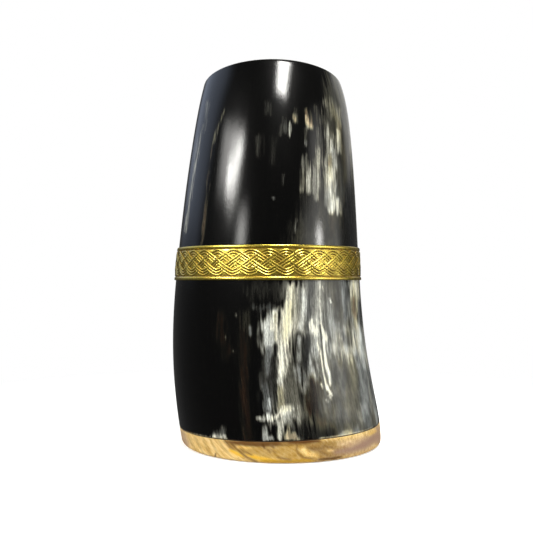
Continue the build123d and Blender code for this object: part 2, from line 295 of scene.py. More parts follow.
    "left streak, lower": (0.42, 0.45, 1.7, ((302.8, 172, 0.9), (302.6, 181, 1.2), (302, 189, 0.8))),
    "main streak, bed": (0.46, 0.5, 3.0, ((330, 138, 2.4), (330.5, 155, 4), (330.5, 178, 4.5))),
    "main streak, left strand": (0.72, 0.3, 1.6, (
        (327.2, 127, 0.8), (326.8, 138, 1.4), (327.3, 149, 1.5), (326.8, 157, 1.9), (326.8, 182, 1.7),
    )),
    "main streak, flicker": (0.84, 0.3, 1.2, ((331, 141, 1), (331.5, 150, 1.2))),
    "main streak, upper dot": (0.74, 0.3, 1.2, ((335, 136, 1), (335.6, 147, 1.3))),
    "main streak, brown core": (0.50, 0.75, 1.6, ((329.8, 158, 1), (330, 168, 1.7), (329.5, 176, 1.2))),
    "main streak, heart": (0.92, 0.25, 2.0, (
        (331.5, 170, 1.8), (330, 186, 3.6), (329.8, 196, 4.4), (331.3, 208, 2),
    )),
    "main streak, right strand": (0.68, 0.2, 1.8, ((334.6, 150, 1.1), (334.6, 165, 1.4), (334, 184, 1.2))),
    "main streak, lower left": (0.60, 0.3, 1.8, ((325.8, 188, 1.2), (326, 203, 1.2))),
    "field edge, upper right": (0.34, 0.45, 2.6, ((322, 104, 1.6), (323.5, 121, 1.8))),
    "outer streak": (0.80, 0.35, 1.6, ((337.8, 132, 1), (337.6, 142, 2.1), (338.8, 151, 1.3))),
    "outer streak, lower": (0.74, 0.3, 2.2, ((337, 201, 0.9), (337.8, 206, 2.2), (339.2, 212, 1.5))),
    "outer haze": (0.44, 0.45, 3.0, ((329, 104, 3), (333, 114, 3))),
    "outer haze, thread": (0.50, 0.45, 1.5, ((339, 111, 1.4), (339.3, 126, 1))),
    "edge thread at the right": (0.46, 0.5, 1.0, ((350, 130, 0.8), (351, 151, 0.9))),
    # Painted reflection: a dark reflection along the right edge, laid in as darker horn
    "painted dark reflection at the right edge over the strip": (0.11, 0.0, 2.5, (
        (349.5, 186, 1.5), (349, 205, 4), (349, 225, 6), (349, 243, 7),
    )),
    "thread near the lamp streak": (0.44, 0.2, 1.3, ((297, 221, 1), (295.5, 231, 1.2))),
    "left pale line": (0.50, 0.3, 1.0, (
        (203.5, 126, 0.5), (196, 162, 1.1), (190.5, 197, 1.1), (185.5, 230, 0.8),
    )),
    "left pale line, upper": (0.36, 0.2, 1.5, ((208, 104, 1), (206, 130, 1))),
    "left pale line, outer": (0.36, 0.2, 1.3, ((197.5, 138, 0.6), (194.5, 156, 0.8))),
    "brown line, upper": (0.40, 0.6, 1.0, ((225, 110, 0.6), (219, 124, 0.8), (213, 143, 1))),
    "brown line, middle": (0.20, 0.8, 1.2, ((212, 146, 0.7), (207, 180, 0.9))),
    "brown line, lower": (0.27, 0.8, 1.4, ((208.5, 186, 0.7), (205, 215, 1.2), (201.5, 243, 0.7))),
}

# Where the horn is smooth and its fibres hardly show: how smooth it is, then softness and path as above
CALM_MARKS = {
    "lower right": (1.0, 8.0, ((345, 290, 14), (350, 375, 24), (346, 420, 34))),
    "upper right": (0.9, 8.0, ((342, 100, 12), (347, 170, 10), (330, 225, 26))),
}

# Marks on the wooden base: how stained, how honey yellow and how rosy the wood is, then softness and path
# as above. The stain and rosy channels also carry painted shade, darker towards the right and the lower edge,
# and the golden left side is partly painted light
WOOD_MARKS = {
    # Partly the wood's golden tone and partly painted light: the left side is painted clearer, as if lit from
    # the left
    "golden left side, partly painted light": (0.0, 0.2, 0.0, 6.0, ((190, 441, 5), (205, 446, 7), (222, 449, 7))),
    "grey left end": (0.25, 0.0, 0.9, 2.5, ((182, 434, 2), (186, 443, 2.5))),
    # Partly the wood's tan tone and partly painted shade, darker towards the right away from the lamps
    "tan middle, with painted shade": (0.46, 0.45, 0.0, 3.0, ((250, 451, 5), (264, 451, 8), (290, 451, 10), (312, 451, 10))),
    "shaded right": (0.60, 0.35, 0.1, 3.0, ((316, 451, 9), (338, 449.5, 8.5))),
    "left line": (0.38, 0.2, 0.0, 0.7, ((189, 437, 0.5), (191, 443, 0.8), (196, 450, 0.5))),
    "second left line": (0.38, 0.2, 0.0, 0.7, ((195, 437.5, 0.5), (199, 445, 0.8), (203, 452, 0.5))),
    "third left line": (0.35, 0.2, 0.0, 0.7, ((203, 439, 0.5), (206, 446, 0.7), (209, 453, 0.5))),
    "fourth left line": (0.35, 0.2, 0.0, 0.7, ((211, 441, 0.4), (214, 447, 0.7), (219, 455, 0.5))),
    "fifth left line": (0.4, 0.2, 0.0, 0.7, ((219, 441, 0.5), (223, 447, 0.7), (231, 456, 0.5))),
    "fold": (0.8, 0.3, 0.0, 0.7, ((225, 441, 1), (230, 446.5, 1.3), (236, 452, 1.2), (243, 457, 0.9))),
    "honey stripe": (0.06, 1.0, 0.0, 0.9, ((231, 450.6, 1.6), (237, 453.6, 2.2), (243, 456.3, 1.5))),
    "second honey stripe": (0.05, 1.0, 0.0, 1.0, (
        (244, 454, 1.4), (252, 456.6, 2.4), (262, 459, 2.2), (275, 461, 1.5),
    )),
    "second fold": (0.85, 0.3, 0.0, 0.7, (
        (232, 444, 1.5), (237, 449, 1.2), (241.5, 453, 1.2), (247, 457.3, 1.1), (255, 461, 1.1),
    )),
    "third fold": (0.75, 0.3, 0.0, 0.7, ((240, 448.5, 0.9), (244.5, 451.8, 1.1), (251, 454.5, 0.8))),
    "pale patch under the stain": (0.0, 0.5, 0.0, 1.2, ((239, 447, 1.2), (249, 447.3, 1.2))),
    "stain under the joint": (0.95, 0.2, 0.0, 0.9, (
        (229, 441.8, 1), (236, 442.8, 2.2), (247, 443.4, 3),
        (262, 444, 3), (285, 443.4, 2.4), (304, 442.6, 1.6),
    )),
    "stain, tongue": (1.0, 0.0, 0.0, 0.6, ((263, 445, 1.6), (264.5, 448, 0.8))),
    "stain, second tongue": (0.9, 0.0, 0.0, 0.6, ((271, 445, 1.4), (274, 447.8, 0.7))),
    "fleck": (0.75, 0.1, 0.0, 0.6, ((266, 448.5, 0.7), (270, 452, 0.9))),
    "second fleck": (0.7, 0.1, 0.0, 0.6, ((270, 449, 0.5), (275, 452.5, 0.6))),
    "golden lower edge": (0.4, 1.0, 0.0, 0.9, ((262, 461.3, 1), (285, 461.3, 1.6), (310, 460.3, 1.5))),
    "brown dash": (0.8, 0.2, 0.0, 0.6, ((278, 457.3, 0.7), (284, 458.6, 1), (290, 459.6, 0.8))),
    "orange band under the joint": (0.68, 0.4, 0.0, 1.0, (
        (284, 444, 1.4), (300, 444, 2), (318, 444.4, 2.6), (335, 443.6, 2.2),
    )),
    "brown band": (0.8, 0.2, 0.0, 0.8, ((305, 448, 1.2), (313, 449, 1.9), (322, 448.4, 1.3))),
    "joint line at the right": (1.0, 0.0, 0.0, 0.8, ((291, 442.2, 1.4), (305, 441.8, 1.9), (318, 441, 1.2))),
    "round figure": (0.0, 0.3, 0.0, 1.5, ((304, 450.5, 3), (308, 454, 3.2), (316, 455.6, 2))),
    "round figure, rim": (0.8, 0.2, 0.0, 0.6, (
        (297, 446.5, 0.6), (296.5, 450, 0.7), (298.5, 454, 0.8), (304, 457.5, 0.7), (312, 458.6, 0.6),
    )),
    "right line": (0.75, 0.1, 0.1, 0.6, ((319, 450.5, 0.6), (327, 455.5, 0.8))),
    "second right line": (0.75, 0.1, 0.1, 0.6, ((323, 446, 0.7), (332, 447.6, 0.9))),
    "pale knot": (0.0, 0.2, 0.1, 0.8, ((329, 450.6, 1.2), (333, 450.6, 1.2))),
    # Painted shade along the lower right edge, where the base rounds under
    "painted shade on the lower edge": (1.0, 0.0, 0.0, 0.7, ((320, 459.6, 0.9), (332, 458.3, 1.5), (340, 457, 1))),
    "dark corner": (0.7, 0.1, 0.0, 1.0, ((331, 456, 1.4), (337, 455, 1.2))),
    "beige right top": (0.0, 0.0, 0.45, 2.0, ((341, 444, 2.6), (352, 442.4, 3), (362, 439.4, 2.4))),
    # Painted shade: the right end, turning away, is painted mauve grey
    "mauve painted shade on the right side": (0.40, 0.0, 1.0, 2.2, (
        (338, 452, 2.4), (352, 449.5, 3.6), (364, 445, 4.6), (374, 438.4, 4.4),
    )),
    "mauve painted shade at the right end": (0.30, 0.0, 1.0, 1.8, ((377.5, 429, 2), (378.5, 440, 2.4))),
    "tan knot at the right": (0.15, 0.5, 0.0, 1.0, ((370, 434, 1.4), (375, 431, 1.4))),
    "nick": (1.0, 0.0, 0.0, 0.5, ((215.5, 454, 0.7), (215.3, 456.5, 0.8))),
}

# The brass strip: offsets are out from the horn, and places in from the strip's edge. Its ends lie STRIP_END
# degrees either way from the front, so they lap at the back, where one end steps up at the joggle
STRIP_STEP = 0.5
BORDER_WIDTH = 1.25
BORDER_EDGE = 0.12
BORDER_FULLNESS = 0.7
BORDER_GROOVE = ((0.1, 0.05), (0.3, 0.05), (0.45, 0.0))
GROOVE_START = 0.005
GROOVE_RANGE = 0.04
SHEET_FIT = 0.1
SHEET_GROUND = 0.27
STRIP_TOP = 0.58
STRIP_END = 186.9
LAP_RISE = 0.6
JOGGLE_START = 170.7
JOGGLE_END = 172.5

# The plait on the strip: STRAND_RIBS is half of a strand's section, as shares of its width and relief
PATTERN_REPEATS = 36
STRANDS = 4
STRAND_POINTS = 880
STRAND_WIDTH = 2.9
STRAND_RELIEF = 0.22
STRAND_LIFT = 0.13
STRAND_RIBS = ((0.04, 0.5), (0.1, 0.9), (0.17, 1.0), (0.25, 0.85), (0.335, 0.35), (0.42, 0.85), (0.5, 1.0))
SECTION_POINTS = 27
ZIGZAG_BEND = 0.93
PLAIT_END_GAP = 0.3
PLAIT_EDGE_GAP = 0.1
SLOPE_REACH = 5.0

# Colours, and ramps of them as (position, colour)
HORN_TINTS = (
    (0.0, (0.95, 1.0, 0.96)),
    (0.35, (1.0, 0.98, 0.80)),
    (0.6, (1.0, 0.94, 0.62)),
    (0.82, (1.0, 0.72, 0.45)),
    (1.0, (1.0, 0.52, 0.26)),
)
INNER_HORN_DARK = (0.012, 0.009, 0.006)
INNER_HORN_PALE = (0.06, 0.045, 0.03)
WOOD_TINTS = (
    (0.32, (0.44, 0.25, 0.08)),
    (0.44, (0.68, 0.46, 0.17)),
    (0.54, (0.85, 0.63, 0.28)),
    (0.66, (0.95, 0.77, 0.42)),
)
WOOD_SHADE = (0.36, 0.20, 0.085)
WOOD_HONEY = (0.80, 0.47, 0.02)
# The rosy and stain colours also serve as painted shade
WOOD_ROSE_AND_SHADE = (0.45, 0.30, 0.24)
WOOD_STAIN_AND_SHADE = (0.11, 0.040, 0.003)
WOOD_PORE = (0.17, 0.09, 0.04)
GLUE_TINTS = ((0.3, (0.012, 0.009, 0.007)), (0.7, (0.055, 0.04, 0.026)))
STRIP_BRASS = (0.95, 0.74, 0.10)
STRIP_TARNISH = (0.78, 0.48, 0.08)
PIN_BRASS = (0.86, 0.62, 0.16)
PIN_TARNISH = (0.55, 0.34, 0.10)
CREVICE_BRASS = (0.42, 0.25, 0.045)
FLOOR_DARK = (0.84, 0.84, 0.84)
FLOOR_PALE = (0.88, 0.88, 0.88)

# The studio: the white surround, the floor and where it runs out into white, and what all lamps share
SURROUND_LIGHT = 0.3
SURROUND_MIRRORED = 0.06
FLOOR_RADII = (600.0, 100.0, 2.0)
FLOOR_STEP = 3.0
FLOOR_DROP = 0.05
FLOOR_RUNOUT = (70.0, 240.0)
FLOOR_LIFT = 0.5
LAMP_DISTANCE = 700.0
LAMP_AIM = (-5.0, 0.0, 75.0)
LAMP_COLOUR = (1.0, 0.99, 0.95)
COOL_COLOUR = (0.66, 0.77, 1.0)

# Lamps: azimuth from the front, elevation, width, height, brightness, tilt, and the share of the way in from
# the rim over which the light falls off; a lamp of another colour than LAMP_COLOUR names it at the end
LAMPS = {
    "left_haze": (-58.0, 29.0, 480.0, 235.0, 5.4, 0.0, 0.7),
    "left_soft": (-50.5, 28.0, 300.0, 290.0, 9.0, -20.0, 1.0),
    "left_streak": (-47.5, 29.0, 140.0, 310.0, 15.0, -39.0, 1.0),
    "left_upper": (-43.0, 32.0, 100.0, 90.0, 11.0, 0.0, 1.0),
    "left_lower": (-57.0, 25.5, 110.0, 130.0, 25.0, 0.0, 1.0),
    "left_tail": (-33.5, 16.0, 230.0, 170.0, 8.5, 0.0, 1.0),
    "top_front": (22.5, 60.5, 165.0, 405.0, 31.0, -27.0, 0.35),
    "right_glint": (63.5, 11.0, 170.0, 90.0, 22.0, 0.0, 1.0),
    "right_upper": (64.0, 26.0, 360.0, 330.0, 1.4, 0.0, 0.9),
    "right_card": (70.0, 0.0, 1000.0, 700.0, 1.2, 0.0, 0.6),
    "right_wall": (149.0, 27.0, 720.0, 400.0, 0.5, 0.0, 0.4),
    "back_soft": (178.0, 42.0, 620.0, 520.0, 2.6, 0.0, 0.6),
    "left_card": (-122.0, 32.0, 950.0, 800.0, 0.6, 0.0, 0.6, COOL_COLOUR),
}

# An Attribute node's outputs
VECTOR_OUTPUT = 1
NUMBER_OUTPUT = 2


def surface_tree(node):
    """A search tree over a CAD node's faces."""
    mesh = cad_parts[node].data
    places = [v.co for v in mesh.vertices]
    faces = [tuple(p.vertices) for p in mesh.polygons]
    return BVHTree.FromPolygons(places, faces)


def reach(tree, place, direction):
    """Where a ray from a place, in mm, first meets the tree, in mm, or None."""
    hit = tree.ray_cast(Vector(place) * MM, Vector(direction))[0]
    return None if hit is None else np.array(hit) / MM


class Outline:
    """The cup's outline, measured on the CAD nodes: its four sides as smooth functions of height."""

    DEGREE = 8
    FAR = 200.0
    WOOD_HEIGHTS = (2.6, 3.6, 4.6, 5.6)
    HORN_HEIGHTS = np.arange(10.5, 147.4, 2.0)
    SIDE_TOP = 142.0
    BACK_TOP = 138.0
    CENTRE_ROUNDS = 3
    PLANE_ROUNDS = 3
    PLANE_ANGLES = np.radians(np.arange(0, 360, 20))
    EDGE_ROUNDS = 4

    def __init__(self, horn, wood, hidden):
        """hidden is the stretch of heights under the strip, where pin holes spoil the back."""
        sides = {"left": [], "right": [], "front": [], "back": []}
        self.centre = (0.0, 0.0)
        for height in self.WOOD_HEIGHTS:
            self.measure(wood, height, sides)
        for height in self.HORN_HEIGHTS:
            if not hidden[0] < height < hidden[1]:
                self.measure(horn, height, sides)
        self.curves = {}
        for side, samples in sides.items():
            points = np.array(samples)
            self.curves[side] = np.polynomial.Polynomial.fit(points[:, 0], points[:, 1], self.DEGREE)

    def measure(self, tree, height, sides):
        """Adds where the four sides lie at one height, leaving out those above the slanted rim."""
        x, y = self.centre
        for _ in range(self.CENTRE_ROUNDS):
            left = reach(tree, (-self.FAR, y, height), (1, 0, 0))
            right = reach(tree, (self.FAR, y, height), (-1, 0, 0))
            if height < self.SIDE_TOP:
                x = (left[0] + right[0]) / 2
            front = reach(tree, (x, -self.FAR, height), (0, 1, 0))
            back = reach(tree, (x, self.FAR, height), (0, -1, 0))
            if height < self.BACK_TOP:
                y = (front[1] + back[1]) / 2
        self.centre = (x, y)
        sides["front"].append((height, front[1]))
        if height < self.SIDE_TOP:
            sides["left"].append((height, left[0]))
            sides["right"].append((height, right[0]))
        if height < self.BACK_TOP:
            sides["back"].append((height, back[1]))

    def oval(self, height):
        """Centre x, centre y, half width and half depth at a height."""
        left, right = self.curves["left"](height), self.curves["right"](height)
        front, back = self.curves["front"](height), self.curves["back"](height)
        return (left + right) / 2, (front + back) / 2, (right - left) / 2, (back - front) / 2

    def place(self, angle, height, inset=0.0):
        """The point at an angle in radians and a height, a distance inside the outline."""
        x, y, width, depth = self.oval(height)
        return np.stack((
            x + (width - inset) * np.sin(angle),
            y - (depth - inset) * np.cos(angle),
            height + 0.0 * angle,
        ), axis=-1)

    def plane(self, tree, start, direction, near_height, inset):
        """The slanted plane of an edge, as (height, slope along x, slope along y), found by rays that
        start at a height and go up or down, inset from the outline."""
        plane = (near_height, 0.0, 0.0)
        for _ in range(self.PLANE_ROUNDS):
            hits = []
            for angle in self.PLANE_ANGLES:
                height = self.edge_height(plane, angle, near_height, inset)
                x, y = self.place(angle, height, inset)[:2]
                hit = reach(tree, (x, y, start), (0, 0, direction))
                if hit is not None:
                    hits.append(hit)
            hits = np.array(hits)
            table = np.column_stack((np.ones(len(hits)), hits[:, 0], hits[:, 1]))
            plane = np.linalg.lstsq(table, hits[:, 2], rcond=None)[0]
        return plane

    def edge_height(self, plane, angle, near_height, inset=0.0):
        """The height at which the outline meets a slanted plane."""
        height = near_height + 0.0 * angle
        for _ in range(self.EDGE_ROUNDS):
            place = self.place(angle, height, inset)
            height = plane[0] + plane[1] * place[..., 0] + plane[2] * place[..., 1]
        return height


# Measured on the CAD nodes: the strip's edges, the outline, the horn's wall and the slanted edges. The rim
# and foot lie near RIM_NEAR and FOOT_NEAR, and rays start above and below them
BAND_MARGIN = 1.0
RIM_NEAR = 144.0
FOOT_NEAR = 8.0
WALL_HEIGHT = 40.0
SKIN = 0.05
ABOVE_RIM = 200.0
ABOVE_FLOOR = 50.0
BELOW_FOOT = -10.0

horn_tree = surface_tree("horn_body")
wood_tree = surface_tree("wood_base")
BAND_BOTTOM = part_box("embossed_band")[0].z / MM
BAND_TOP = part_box("embossed_band")[1].z / MM
outline = Outline(horn_tree, wood_tree, (BAND_BOTTOM - BAND_MARGIN, BAND_TOP + BAND_MARGIN))

outer_wall = reach(horn_tree, (-outline.FAR, 0.0, WALL_HEIGHT), (1, 0, 0))
inner_wall = reach(horn_tree, outer_wall + (SKIN, 0, 0), (1, 0, 0))
HORN_WALL = float(inner_wall[0] - outer_wall[0])
rim_plane = outline.plane(horn_tree, ABOVE_RIM, -1, RIM_NEAR, HORN_WALL / 2)
foot_plane = outline.plane(horn_tree, BELOW_FOOT, 1, FOOT_NEAR, HORN_WALL / 2)
shoulder_plane = outline.plane(wood_tree, ABOVE_FLOOR, -1, FOOT_NEAR, HORN_WALL / 2)
FLOOR_HEIGHT = float(reach(wood_tree, (0.0, 0.0, ABOVE_FLOOR), (0, 0, -1))[2])


def set_inputs(node, inputs):
    """Sets a node's inputs, by name or number, or links them where the value is another node's output."""
    for key, value in inputs.items():
        if isinstance(value, bpy.types.NodeSocket):
            node.id_data.links.new(value, node.inputs[key])
        else:
            node.inputs[key].default_value = value


def add_node(tree, kind, inputs=None, output=0, **settings):
    """Adds a node with its settings and inputs, and returns one of its outputs."""
    made = tree.nodes.new(kind)
    for name, value in settings.items():
        setattr(made, name, value)
    set_inputs(made, inputs or {})
    return made.outputs[output]


def calculate(tree, operation, first, second=None, third=None):
    """A Math node."""
    values = {i: v for i, v in enumerate((first, second, third)) if v is not None}
    return add_node(tree, "ShaderNodeMath", values, operation=operation)


def vector_calculate(tree, operation, first, second=None):
    """A Vector Math node."""
    values = {i: v for i, v in enumerate((first, second)) if v is not None}
    return add_node(tree, "ShaderNodeVectorMath", values, operation=operation)


def between(tree, value, low, high, to_low=0.0, to_high=1.0, smooth=True):
    """A Map Range node, clamped."""
    kind = "SMOOTHSTEP" if smooth else "LINEAR"
    inputs = {"Value": value, "From Min": low, "From Max": high, "To Min": to_low, "To Max": to_high}
    return add_node(tree, "ShaderNodeMapRange", inputs, interpolation_type=kind)


def opaque(colour):
    """A colour of three numbers with full alpha, or a node's output as it is."""
    return (*colour, 1.0) if isinstance(colour, tuple) else colour


def blend_colour(tree, factor, first, second):
    """A colour Mix node."""
    inputs = {0: factor, 6: opaque(first), 7: opaque(second)}
    return add_node(tree, "ShaderNodeMix", inputs, output=2, data_type="RGBA")


def stretched(tree, vector, scale):
    """A vector scaled along each axis."""
    return vector_calculate(tree, "MULTIPLY", vector, scale)


def noise(tree, vector, scale=1.0, detail=3.0, roughness=0.5, distortion=0.0):
    """A Noise Texture's value."""
    inputs = {
        "Vector": vector, "Scale": scale, "Detail": detail,
        "Roughness": roughness, "Distortion": distortion,
    }
    return add_node(tree, "ShaderNodeTexNoise", inputs)


def ramp(tree, value, stops):
    """A Color Ramp node through (position, colour) stops."""
    socket = add_node(tree, "ShaderNodeValToRGB", {0: value})
    elements = socket.node.color_ramp.elements
    while len(elements) < len(stops):
        elements.new(1.0)
    for element, (position, colour) in zip(elements, stops):
        element.position = position
        element.color = opaque(colour)
    return socket


def attribute(tree, name, output=NUMBER_OUTPUT):
    """Reads a mesh attribute, as a number or a vector."""
    return add_node(tree, "ShaderNodeAttribute", output=output, attribute_name=name)


def combine(tree, x=0.0, y=0.0, z=0.0):
    """A vector of three numbers."""
    return add_node(tree, "ShaderNodeCombineXYZ", {0: x, 1: y, 2: z})


def object_place(tree):
    """The Object coordinates in millimetres."""
    coordinates = add_node(tree, "ShaderNodeTexCoord", output=3)
    return vector_calculate(tree, "MULTIPLY", coordinates, (1 / MM, 1 / MM, 1 / MM))


def bump(tree, height, strength, distance):
    """A Bump node, with its distance in millimetres."""
    inputs = {"Strength": strength, "Distance": distance * MM, "Height": height}
    return add_node(tree, "ShaderNodeBump", inputs)


def new_material(name):
    """A material with a plain Principled shader, returned with its tree and shader."""
    material = bpy.data.materials.new(name)
    material.use_nodes = True
    tree = material.node_tree
    return material, tree, tree.nodes["Principled BSDF"]


def horn_material():
    """Polished dark horn: pale marks broken up by long fibres, under a thin gloss."""
    material, tree, shader = new_material("polished_horn")
    place = attribute(tree, "straight_place", VECTOR_OUTPUT)
    paleness = attribute(tree, "paleness")
    warmth = attribute(tree, "warmth")
    inside = attribute(tree, "inside")
    fibres = noise(tree, stretched(tree, place, (2.0, 2.0, 0.05)), detail=3.0)
    fine = noise(tree, stretched(tree, place, (4.5, 4.5, 0.7)), detail=2.0)
    clouds = noise(tree, stretched(tree, place, (0.30, 0.30, 0.13)), detail=4.0)
    mottle = noise(tree, stretched(tree, place, (0.17, 0.17, 0.06)), detail=2.0)
    calm = attribute(tree, "calm")
    weave = between(tree, fibres, 0.34, 0.66, -0.5, 0.1)
    weave = calculate(tree, "ADD", weave, between(tree, fine, 0.34, 0.66, 0.0, 0.4))
    depth = between(tree, calm, 0.0, 1.0, 0.7, 0.2)
    depth = calculate(tree, "MULTIPLY", depth, between(tree, paleness, 0.84, 0.96, 1.0, 0.2))
    patches = calculate(tree, "MULTIPLY", calm, between(tree, clouds, 0.3, 0.7, -0.28, 0.28))
    weave = calculate(tree, "MULTIPLY_ADD", weave, depth, patches)
    pale = calculate(tree, "MULTIPLY_ADD", paleness, weave, paleness)
    pale = calculate(tree, "MINIMUM", pale, 0.98)
    light = calculate(tree, "POWER", pale, 2.2)
    warmth = calculate(tree, "MULTIPLY_ADD", calm, between(tree, mottle, 0.35, 0.65, -0.25, 0.3), warmth)
    tint = {0: ramp(tree, warmth, HORN_TINTS), "Scale": light}
    colour = add_node(tree, "ShaderNodeVectorMath", tint, operation="SCALE")
    inner_tint = blend_colour(tree, clouds, INNER_HORN_DARK, INNER_HORN_PALE)
    colour = blend_colour(tree, calculate(tree, "MULTIPLY", inside, 0.6), colour, inner_tint)
    polish = between(tree, fine, 0.3, 0.7, 0.3, 0.36)
    grain = calculate(tree, "MULTIPLY_ADD", fibres, 0.6, fine)
    scratches = noise(tree, stretched(tree, place, (1.3, 1.3, 0.6)), detail=5.0, roughness=0.7)
    set_inputs(shader, {
        "Base Color": colour,
        "Roughness": calculate(tree, "MULTIPLY_ADD", inside, 0.15, polish),
        "Normal": bump(tree, grain, 0.03, 0.05),
        "Specular IOR Level": 0.06,
        "Coat Weight": 1.0,
        "Coat Roughness": 0.08,
        "Coat Normal": bump(tree, scratches, 0.45, 0.05),
    })
    return material


def wood_material():
    """Oiled light hardwood: slanting grain, pores and painted stains, with painted shade towards the right
    and lower edge and painted light on the left side.
    """
    material, tree, shader = new_material("oiled_wood")
    place = object_place(tree)
    turned = add_node(tree, "ShaderNodeMapping", {
        "Vector": place, "Location": (20.0, 60.0, 14.0), "Rotation": (-0.35, -0.55, 0.5),
    })
    sway = noise(tree, stretched(tree, place, (0.05, 0.05, 0.2)), detail=3.0)
    grain = noise(tree, stretched(tree, turned, (0.10, 1.1, 1.1)), detail=5.0, roughness=0.65, distortion=0.4)
    pores = noise(tree, stretched(tree, turned, (0.4, 4.0, 4.0)), detail=2.0)
    body = ramp(tree, grain, WOOD_TINTS)
    body = blend_colour(tree, between(tree, sway, 0.4, 0.65, 0.0, 0.2), body, WOOD_SHADE)
    honey = calculate(tree, "MULTIPLY", attribute(tree, "honey"), 0.9)
    body = blend_colour(tree, honey, body, WOOD_HONEY)
    # The rosy colour gives a rosy tone and painted mauve shade at the ends
    rose_and_shade = calculate(tree, "MULTIPLY", attribute(tree, "rose_and_shade"), 0.9)
    body = blend_colour(tree, rose_and_shade, body, WOOD_ROSE_AND_SHADE)
    # The stain attribute holds real stains and painted shade
    body = blend_colour(tree, attribute(tree, "stain"), body, WOOD_STAIN_AND_SHADE)
    body = blend_colour(tree, between(tree, pores, 0.58, 0.72, 0.0, 0.4), body, WOOD_PORE)
    height = calculate(tree, "MULTIPLY_ADD", pores, -0.7, grain)
    set_inputs(shader, {
        "Base Color": body,
        "Roughness": between(tree, pores, 0.3, 0.7, 0.42, 0.6),
        "Normal": bump(tree, height, 0.25, 0.12),
        "Specular IOR Level": 0.2,
    })
    return material


def seal_material():
    """Dark set glue, slightly rough."""
    material, tree, shader = new_material("dark_glue")
    place = object_place(tree)
    lumps = noise(tree, place, scale=0.5, detail=3.0)
    grit = noise(tree, place, scale=3.0, detail=2.0)
    set_inputs(shader, {
        "Base Color": ramp(tree, lumps, GLUE_TINTS),
        "Roughness": between(tree, grit, 0.3, 0.7, 0.35, 0.6),
        "Normal": bump(tree, lumps, 0.4, 0.2),
    })
    return material


def brass_material(name, light, dark, roughness, tarnish):
    """Brass: brushed along the strip, tarnished in patches and darker in the crevices of the relief."""
    material, tree, shader = new_material(name)
    place = object_place(tree)
    brushed = noise(tree, stretched(tree, place, (0.8, 0.8, 9.0)), detail=3.0, roughness=0.6)
    patches = noise(tree, stretched(tree, place, (0.16, 0.16, 0.35)), detail=4.0, roughness=0.6)
    wear = between(tree, patches, 0.4, 0.72, 0.0, tarnish)
    colour = blend_colour(tree, wear, light, dark)
    crevice = attribute(tree, "crevice")
    polish = between(tree, brushed, 0.3, 0.7, roughness - 0.06, roughness + 0.1)
    set_inputs(shader, {
        "Base Color": blend_colour(tree, crevice, colour, CREVICE_BRASS),
        "Metallic": 1.0,
        "Roughness": calculate(tree, "MULTIPLY_ADD", crevice, 0.3, polish),
        "Normal": bump(tree, brushed, 0.1, 0.03),
        "Coat Weight": 0.8,
        "Coat Roughness": 0.2,
    })
    return material


def new_object(name, mesh, material):
    """Links an object that shows a mesh in one material, smooth shaded."""
    made = bpy.data.objects.new(name, mesh)
    bpy.context.scene.collection.objects.link(made)
    if not mesh.materials:
        mesh.materials.append(material)
    mesh.shade_smooth()
    return made


def ring_mesh(name, rings, closed_loop=True, caps=(False, False)):
    """A mesh through rings of points in mm: an array of (ring, point, 3).
    closed_loop joins the last ring to the first; caps close the first and last ring with a pole."""
    count, around = rings.shape[:2]
    places = rings.reshape(-1, 3) * MM
    faces = []
    last = count if closed_loop else count - 1
    ahead = np.roll(np.arange(around), -1)
    here = np.arange(around)
    for ring in range(last):
        low, high = ring * around, (ring + 1) % count * around
        faces.append(np.column_stack((low + here, low + ahead, high + ahead, high + here)))
    quads = np.concatenate(faces).tolist()
    places = places.tolist()
    for wanted, ring, flip in ((caps[0], 0, True), (caps[1], count - 1, False)):
        if wanted:
            pole = len(places)
            places.append((rings[ring].mean(axis=0) * MM).tolist())
            start = ring * around
            pairs = zip(start + here, start + ahead)
            quads += [(int(b), int(a), pole) if flip else (int(a), int(b), pole) for a, b in pairs]
    mesh = bpy.data.meshes.new(name)
    mesh.from_pydata(places, [], quads)
    mesh.update()
    return mesh


def add_number(mesh, name, values):
    """Stores one number for each vertex."""
    layer = mesh.attributes.new(name, "FLOAT", "POINT")
    layer.data.foreach_set("value", np.ascontiguousarray(values, np.float32).ravel())


def add_vector(mesh, name, values):
    """Stores one vector for each vertex."""
    layer = mesh.attributes.new(name, "FLOAT_VECTOR", "POINT")
    layer.data.foreach_set("vector", np.ascontiguousarray(values, np.float32).ravel())


def smooth_step(value):
    """Eases a value held between 0 and 1."""
    value = np.clip(value, 0.0, 1.0)
    return value * value * (3 - 2 * value)


def fibre_noise(angle, height, across, along, salt):
    """Smooth noise from 0 to 1 over the horn, drawn out along it: its grain is across by along mm."""
    random = np.random.default_rng((SEED, salt))
    columns = round(math.tau * MEAN_RADIUS / across)
    lattice = random.random((columns, int(RIM_NEAR * LATTICE_MARGIN / along) + 2))
    right = (angle % math.tau) / math.tau * columns
    up = np.maximum(height, 0.0) / along
    column, row = np.floor(right).astype(int), np.floor(up).astype(int)
    right, up = smooth_step(right - column), smooth_step(up - row)
    column, following = column % columns, (column + 1) % columns
    below = lattice[column, row] * (1 - right) + lattice[following, row] * right
    above = lattice[column, row + 1] * (1 - right) + lattice[following, row + 1] * right
    return below * (1 - up) + above * up


def fibre_grain(angle, height):
    """Long fibres as a number from 0 to 1, spread about evenly."""
    total = 0.0
    for salt, (share, across, along) in enumerate(FIBRE_LAYERS, start=1):
        total = total + share * fibre_noise(angle, height, across, along, salt)
    return np.clip((total - 0.5) * FIBRE_CONTRAST + 0.5, 0.0, 1.0)


